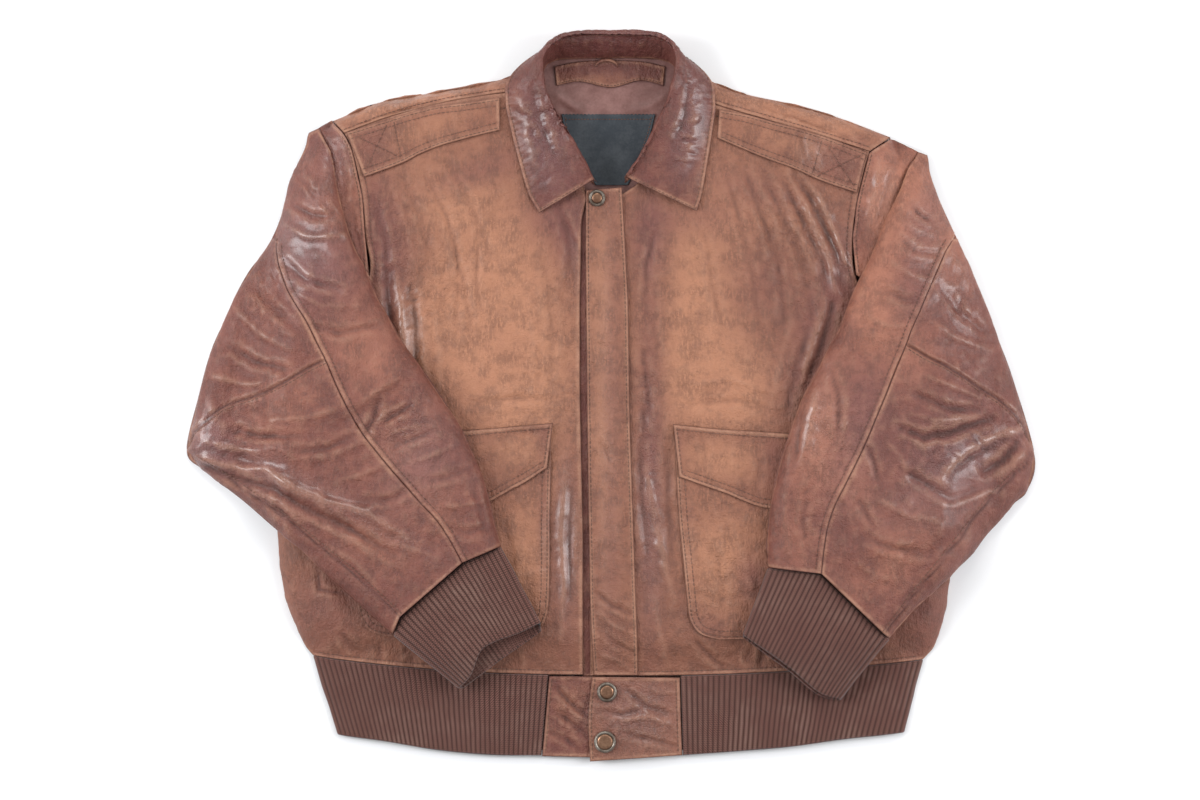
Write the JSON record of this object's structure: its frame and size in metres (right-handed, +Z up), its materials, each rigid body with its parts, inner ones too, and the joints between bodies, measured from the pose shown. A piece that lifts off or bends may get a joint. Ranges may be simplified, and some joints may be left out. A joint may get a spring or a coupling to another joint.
{
  "type": "worn leather flight jacket laid flat with folded sleeves",
  "caption": "Worn brown leather flight jacket laid flat, sleeves folded over the front, with knitted cuffs and waistband, shirt collar, epaulets, flapped patch pockets and a covered zip.",
  "frame": {"origin": "Centre of the bounding box's bottom face, on the surface the jacket lies on.", "axes": "+X across the jacket, from the elbow seen at the left to the elbow seen at the right. +Y from the hem to the collar. +Z up, out of the front."},
  "size_m": [0.8532, 0.732, 0.0515],
  "materials": {
    "leather_front": "worn satin, tan",
    "leather_body": "worn satin, brown",
    "leather_sleeve": "worn, slightly glossy, dark brown",
    "knit": "matt ribbed wool knit",
    "satin": "smooth lining with a soft sheen",
    "label": "matt woven cloth, bare",
    "snap": "antique, rubbed bright at the rim"
  },
  "bodies": {
    "root": {"back_panel": "leather_body", "waistband_back": "knit", "neck_lining": "satin", "neck_facing": "leather_body", "neck_label": "label", "front_left": "leather_front", "front_right": "leather_front", "placket": "leather_front", "epaulet_left": "leather_front", "epaulet_right": "leather_front", "pocket_left": "leather_front", "pocket_right": "leather_front", "flap_left": "leather_front", "flap_right": "leather_front", "waistband_left": "knit", "waistband_right": "knit", "tab_left": "leather_body", "tab_right": "leather_front", "collar": "leather_body", "sleeve_front_left": "leather_sleeve", "sleeve_front_right": "leather_sleeve", "sleeve_elbow_left": "leather_sleeve", "sleeve_elbow_right": "leather_sleeve", "sleeve_under_left": "leather_sleeve", "sleeve_under_right": "leather_sleeve", "cuff_left": "knit", "cuff_right": "knit", "snap_collar": "snap", "snap_upper": "snap", "snap_lower": "snap"}
  },
  "joints": []
}
